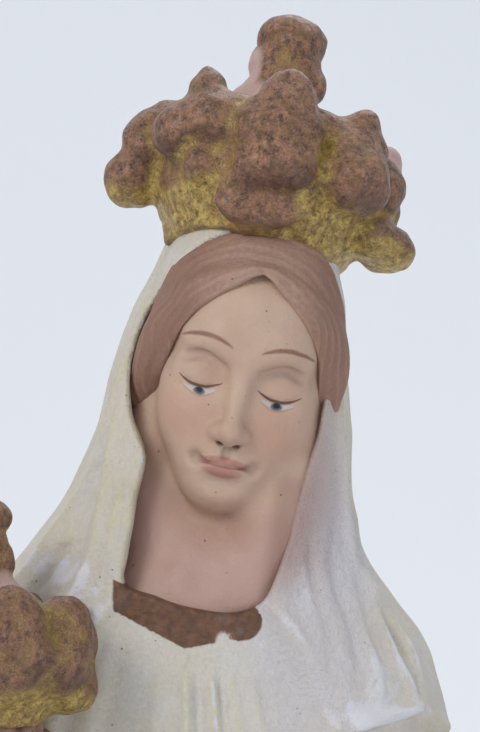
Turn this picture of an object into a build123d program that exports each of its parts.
"""Crowned madonna with child: a hollow-cast, painted plaster devotional statue on an octagonal plinth.

Millimetres and degrees. +Z is up, the figure faces -Y, +X is on the viewer's right.
The origin is the centre of the resting face, on the surface that the statue stands on.
Each workshop piece is one node: the plaster castings, the iron that ties them, the scrim that
bandages the seam, and the plate and felt that close the foot.
"""
import os

from build123d import *

# Plinth and foot
PLINTH_WIDTH, PLINTH_DEPTH = 150.0, 130.0
PLINTH_CORNER = 30.0          # length cut off each corner of the octagon
DECK_Z = 26.0                 # top of the plinth, where the figure stands
FELT = 1.5
FELT_INSET = 3.0
PLATE = 3.0                   # closing plate let into the plinth's underside
PLINTH_WALL = 10.0
DECK_THICKNESS = 9.0
BOSS_HEIGHT, BOSS_SLACK = 8.0, 1.0    # raised oval that centres the hollow figure on the deck
MOULDING = 5.0                # chamfer round the top edge of the plinth

# Figure shell: height, centre x, centre y, half width, half depth of each draped cross-section
BODY_SECTIONS = [
    (DECK_Z, 0, 0, 55, 47),
    (60, 0, 0, 50, 43),
    (120, 0, 0, 49, 40),
    (180, 0, 0, 52, 38),
    (230, 0, 0, 58, 37),
    (265, 0, 0, 63, 36),
    (295, 0, 0, 65, 34),
    (320, 0, 0, 63, 32),
    (340, 0.5, 0, 58, 30),
    (358, 0.5, 0, 51, 27.5),
    (370, 0.5, 0.5, 44, 26.5),
    (380, 2, 1, 36.5, 26.5),
    (391, 5.5, 2, 31.5, 27.5),
    (407, 8.4, 3, 28, 28.5),
    (425, 10.3, 4, 24.5, 29),
    (440, 11.7, 5, 21, 26),
    (451, 12.6, 6, 17, 20),
]
WALL = 7.0                    # plaster thickness of the shell
CAVITY_TOP = 348.0            # the shell is solid above this height
SEAM_Y = 6.0                  # plane where the front and back half shells meet
SCRIM, SCRIM_WIDTH = 1.5, 16.0

# Head, turned to the figure's left and bowed; its frame sits at the middle of the skull
HEAD_AT, HEAD_ROLL, HEAD_BOW = (12, -2, 421), 12.0, 8.0
# Height, centre y, half width, half depth of the head along its own axis
HEAD_SECTIONS = [
    (-32, -16, 7, 8),
    (-27, -14, 12.5, 12),
    (-18, -9, 16.5, 18),
    (-6, -3, 19.5, 24.5),
    (8, 0, 21, 27),
    (20, 1.5, 19, 24),
    (28, 3, 12.5, 16),
    (31.5, 4, 4, 6),
]
# Height, centre x, centre y, half width, half depth of the neck and the bust plug
NECK_SECTIONS = [
    (352, 0, -5, 21, 20),
    (362, 0.5, -5, 19, 18),
    (372, 2, -4, 15, 14.5),
    (382, 3.5, -3, 12.8, 12.8),
    (402, 7, -1, 12.5, 12.5),
]
# Opening of the veil round the face, neck and breast: x, z
VEIL_OPENING = [
    (12, 451), (27, 443), (33.5, 425), (30, 405), (23, 386),
    (15.5, 366), (0, 359), (-15.5, 366), (-14.5, 386), (-14, 405), (-14.5, 420), (-5, 442),
]
VEIL_EDGE_Y = -4.0            # how far back the opening is cut beside the cheeks

# Crown, in its own frame: the centre of the band's lower edge
CROWN_AT, CROWN_ROLL, CROWN_BOW = (13, 2, 445), 13.0, -15.0
CROWN_PROFILE = [(0, 0), (19.5, 0), (21.5, 4), (25.5, 12), (25.5, 22), (21, 29), (11, 38), (0, 41)]
FLEURONS = 8
# Radius from the axis, height, ball radius, and the angle to each side of the fleuron
FLEURON_BALLS = [(27, 13.5, 8, 0), (25, 24, 7, 0), (25.5, 18, 6.5, 13), (25.5, 18, 6.5, -13)]
FINIAL_BALLS = [(0, 0, 42, 7.5), (-1, 0, 51.5, 7.5), (6, -1, 46, 4)]

# Arms of the mother: a chain of (x, y, z, radius); the last point is the mouth of the sleeve
RIGHT_ARM = [(-45, 0, 346, 15), (-56, 4, 276, 16), (-36, -34, 254, 13)]
LEFT_ARM = [(45, 0, 346, 15), (57, 4, 280, 16), (26, -36, 262, 12)]
# Mantle hanging from each forearm: height, centre x, centre y, half width, half depth
MANTLE_FALL = [(262, 45, -19, 16, 19), (215, 43, -20, 12, 15), (160, 42, -20, 11, 13), (104, 40, -19, 8, 10)]

JOINT_BALL = 1.04             # knuckles and joints stand this much proud of the limb

# Hands: wrist, knuckles and fingertips of each
RIGHT_HAND = {
    "wrist": (-34, -37, 253),
    "palm": (-25, -45, 255),
    "tips": (-14, -49, 262),
    "thumb": (-22, -43, 266),
}
LEFT_HAND = {
    "wrist": (24, -38, 262),
    "palm": (13, -45, 262),
    "tips": (-1, -52, 262),
    "thumb": (6, -45, 271),
}
FINGERS, FINGER_RADIUS, FINGER_PITCH = 4, 2.6, 4.6
PALM_RADIUS, WRIST_RADIUS = 6.0, 5.5

# Child, seated on the mother's right forearm
CHILD_HEAD_AT, CHILD_SCALE = (-44.5, -35, 331), 0.6
# Height, centre x, centre y, half width, half depth of the tunic
CHILD_SECTIONS = [
    (250, -42, -34, 19, 16),
    (268, -43, -33, 18, 13.5),
    (288, -44, -32, 16.5, 11.5),
    (301, -44, -32, 15.5, 10.5),
    (309, -44, -33, 9, 8),
    (320, -44, -34, 7, 7),
]
CHILD_LIMBS = [
    [(-50, -36, 262, 10.5), (-47, -51, 260, 9.5), (-45, -52, 236, 7)],    # right leg
    [(-34, -36, 261, 10.5), (-31, -51, 258, 9.5), (-30, -52, 232, 7)],    # left leg
    [(-45, -53, 233, 4.4), (-45, -60, 229, 3.8)],                         # right foot
    [(-30, -53, 229, 4.4), (-30, -60, 225, 3.8)],                         # left foot
    # right arm, raised
    [(-58, -32, 301, 7), (-64, -37, 286, 6.5), (-58, -50, 293, 4.6), (-56, -54, 303, 3.8)],
    # left arm, held out to the mother
    [(-30, -32, 301, 7), (-24, -39, 288, 6.2), (-15, -42, 296, 4.4)],
]
CHILD_CROWN_AT, CHILD_CROWN_ROLL, CHILD_CROWN_BOW = (-46, -36.5, 346), 5.0, -6.0
CHILD_CROWN_SCALE = 0.78

# Iron: the rod up the middle, and wire pegs that tie the smaller castings on
ROD_RADIUS, ROD_FROM, ROD_TO = 3.0, 22.0, 385.0
PEG_RADIUS = 1.25
PEG_SLACK = 0.05              # radial clearance of every peg and of the rod
CHILD_PEGS = [((-44, -16, 292), (-44, -36, 292)), ((-47, -18, 260), (-47, -38, 260))]


def oval(z, x, y, half_width, half_depth):
    """One horizontal cross-section."""
    return Location((x, y, z)) * Ellipse(half_width, half_depth)


def oval_loft(sections, shrink=0.0, top=None):
    """A smooth solid through oval cross-sections, each made smaller by shrink and ending at top."""
    kept = [s for s in sections if top is None or s[0] < top]
    if top is not None:
        below, above = kept[-1], next(s for s in sections if s[0] >= top)
        share = (top - below[0]) / (above[0] - below[0])
        kept.append(tuple(low + share * (high - low) for low, high in zip(below, above)))
    return Solid.make_loft([oval(z, x, y, a - shrink, b - shrink).wire() for z, x, y, a, b in kept])


def ball(x, y, z, radius):
    return Location((x, y, z)) * Sphere(radius)


def limb(points):
    """Rounded segments through points of (x, y, z, radius), as an arm, a leg or a finger."""
    shape = None
    for (x0, y0, z0, r0), (x1, y1, z1, r1) in zip(points, points[1:]):
        start, end = Vector(x0, y0, z0), Vector(x1, y1, z1)
        place = Plane(origin=start, z_dir=end - start).location
        length = (end - start).length
        segment = place * Pos(0, 0, length / 2) * Cone(r0, r1, length)
        piece = segment + ball(x0, y0, z0, JOINT_BALL * r0) + ball(x1, y1, z1, JOINT_BALL * r1)
        shape = piece if shape is None else shape + piece
    return shape


def rod(start, end, radius):
    """A straight round bar between two points."""
    axis = Vector(end) - Vector(start)
    place = Plane(origin=start, z_dir=axis).location
    return place * Pos(0, 0, axis.length / 2) * Cylinder(radius, axis.length)


def octagon(inset, low, high):
    """The plinth's outline as a prism, made smaller by inset."""
    outline = Rectangle(PLINTH_WIDTH - 2 * inset, PLINTH_DEPTH - 2 * inset)
    outline = chamfer(outline.vertices(), PLINTH_CORNER - 0.6 * inset)
    return extrude(Pos(0, 0, low) * outline, high - low)


def skull_loft(size=1.0):
    """The skull in its own frame, for the mother or at the child's size."""
    rings = []
    for z, y, half_width, half_depth in HEAD_SECTIONS:
        ring = Location((0, y * size, z * size)) * Ellipse(half_width * size, half_depth * size)
        rings.append(ring.wire())
    return Solid.make_loft(rings)


def tilted(at, roll, bow):
    """A frame whose up axis leans to +X by roll and towards -Y by bow."""
    return Location(at) * Rot(0, roll, 0) * Rot(bow, 0, 0)


HEAD_FRAME = tilted(HEAD_AT, HEAD_ROLL, HEAD_BOW)
CROWN_FRAME = tilted(CROWN_AT, CROWN_ROLL, CROWN_BOW)
CHILD_CROWN_FRAME = tilted(CHILD_CROWN_AT, CHILD_CROWN_ROLL, CHILD_CROWN_BOW)


# ---- The foot: felt, closing plate and plinth ----
def felt_pad():
    return octagon(FELT_INSET, 0, FELT)


def closing_plate():
    return octagon(PLINTH_WALL / 2 + 0.3, FELT, FELT + PLATE)


def plinth():
    """The octagonal base casting: hollow below, with a rebate for the closing plate."""
    block = octagon(0, FELT, DECK_Z)
    block = chamfer(block.faces().sort_by(Axis.Z)[-1].edges(), MOULDING)
    block -= octagon(PLINTH_WALL / 2, FELT, FELT + PLATE + 0.2)
    block -= octagon(PLINTH_WALL, FELT, DECK_Z - DECK_THICKNESS)
    boss = oval_loft(BODY_SECTIONS, WALL + BOSS_SLACK, DECK_Z + BOSS_HEIGHT)
    return block + boss


# ---- The mother's draped figure ----
def mantle_falls():
    """The mantle's two hanging folds, one below each forearm."""
    left = oval_loft(sorted(MANTLE_FALL))
    return left, mirror(left, Plane.YZ)


def figure_form():
    """The whole draped outside, with no hollow, no face opening and no sockets."""
    form = oval_loft(BODY_SECTIONS)
    for piece in (limb(RIGHT_ARM), limb(LEFT_ARM), *mantle_falls()):
        form = form + piece
    return form


def head_form():
    """The head, neck and bust plug: the flesh-coloured casting that is set into the hood."""
    return HEAD_FRAME * skull_loft() + oval_loft(NECK_SECTIONS)


def veil_opening():
    """The space in front of the face, neck and breast that the veil leaves open."""
    outline = Spline([(x, z) for x, z in VEIL_OPENING], periodic=True)
    face = Plane.XZ.offset(-VEIL_EDGE_Y) * make_face(outline)
    return extrude(face, 60)


def cavity():
    return oval_loft(BODY_SECTIONS, WALL, CAVITY_TOP)


def half_space(front):
    size = 400.0
    shift = -size / 2 if front else size / 2
    return Pos(0, SEAM_Y + shift, 250) * Box(size, size, 600)


def scrim(side):
    """A plaster bandage over the seam on one side, inside the shell. side is -1 or 1."""
    skin = cavity() - oval_loft(BODY_SECTIONS, WALL + SCRIM, CAVITY_TOP)
    reach = Pos(side * 100, SEAM_Y, 190) * Box(200, SCRIM_WIDTH, 280)
    return skin & reach


# ---- Crowns ----
def crown_form(scale_by=1.0):
    """A flared band, eight lumpy fleurons, a closed dome and a finial."""
    profile = make_face(Polyline([(r, 0, h) for r, h in CROWN_PROFILE], close=True))
    crown = revolve(profile, Axis.Z)
    for turn in range(FLEURONS):
        for radius, height, size, side in FLEURON_BALLS:
            crown += Rot(0, 0, turn * 360 / FLEURONS + side - 90) * ball(radius, 0, height, size)
    for x, y, z, size in FINIAL_BALLS:
        crown += ball(x, y, z, size)
    return scale(crown, by=scale_by)


# ---- Hands ----
def hand(points):
    """A palm with four fingers side by side and a thumb, on a wrist that enters the sleeve."""
    wrist, palm, tips, thumb = (Vector(points[k]) for k in ("wrist", "palm", "tips", "thumb"))
    shape = limb([(*wrist, WRIST_RADIUS), (*palm, PALM_RADIUS)])
    spread = Vector(0, 0.35, -1).normalized()
    for finger in range(FINGERS):
        offset = spread * ((finger - (FINGERS - 1) / 2) * FINGER_PITCH)
        shape += limb([(*(palm + offset * 0.6), FINGER_RADIUS + 0.4), (*(tips + offset), FINGER_RADIUS)])
    return shape + limb([(*palm, FINGER_RADIUS + 0.6), (*thumb, FINGER_RADIUS)])


# ---- Child ----
def child_form():
    """The seated child in a tunic, with bare feet."""
    form = oval_loft(CHILD_SECTIONS) + Location(CHILD_HEAD_AT) * skull_loft(CHILD_SCALE)
    for points in CHILD_LIMBS:
        form += limb(points)
    return form


def main_solid(shape):
    """The casting itself, without the crumbs that a cut can leave beside it."""
    return max(shape.solids(), key=lambda solid: solid.volume)


def peg_on_axis(frame, low, high):
    """Ends of a peg along a tilted frame's own axis."""
    return tuple(tuple((frame * Pos(0, 0, z)).position) for z in (low, high))


def build():
    """Cuts the castings from one another so that they meet face to face, and drills them for the iron."""
    form, head, opening = figure_form(), head_form(), veil_opening()
    rod_ends = ((0, 0, ROD_FROM), (0, 0, ROD_TO))
    pegs = {
        "crown_peg": [peg_on_axis(CROWN_FRAME, -6, 26)],
        "child_crown_peg": [peg_on_axis(CHILD_CROWN_FRAME, -7, 12)],
        "child_pegs": CHILD_PEGS,
        "right_hand_peg": [((-42, -28, 252), (-29, -41, 254))],
        "left_hand_peg": [((33, -31, 262), (18, -42, 262))],
    }
    holes = rod(*rod_ends, ROD_RADIUS + PEG_SLACK)
    for ends in (e for group in pegs.values() for e in group):
        holes += rod(*ends, PEG_RADIUS + PEG_SLACK)

    shell = form - cavity() - head - opening - holes
    crown = CROWN_FRAME * crown_form() - form - head - holes
    right_hand = main_solid(hand(RIGHT_HAND) - form - holes)
    left_hand = main_solid(hand(LEFT_HAND) - form - holes)
    child = main_solid(child_form() - form - right_hand - left_hand - holes)
    child_crown = CHILD_CROWN_FRAME * crown_form(CHILD_CROWN_SCALE) - child_form() - form - holes
    nodes = {
        "felt_pad": felt_pad(),
        "closing_plate": closing_plate(),
        "plinth": plinth() - holes,
        "body_front_shell": main_solid(shell & half_space(True)),
        "body_back_shell": main_solid(shell & half_space(False)),
        "seam_scrim_right": scrim(-1),
        "seam_scrim_left": scrim(1),
        "head": head - holes,
        "crown": crown,
        "right_hand": right_hand,
        "left_hand": left_hand,
        "child": child,
        "child_crown": child_crown,
        "armature_rod": rod(*rod_ends, ROD_RADIUS),
    }
    for name, group in pegs.items():
        nodes[name] = Compound([rod(*ends, PEG_RADIUS).solid() for ends in group])
    return nodes


os.makedirs("parts", exist_ok=True)
for node_name, shape in build().items():
    solids = shape.solids()
    print(node_name, "solids", len(solids), "volume", [round(s.volume) for s in solids])
    export_step(shape, f"parts/{node_name}.step")
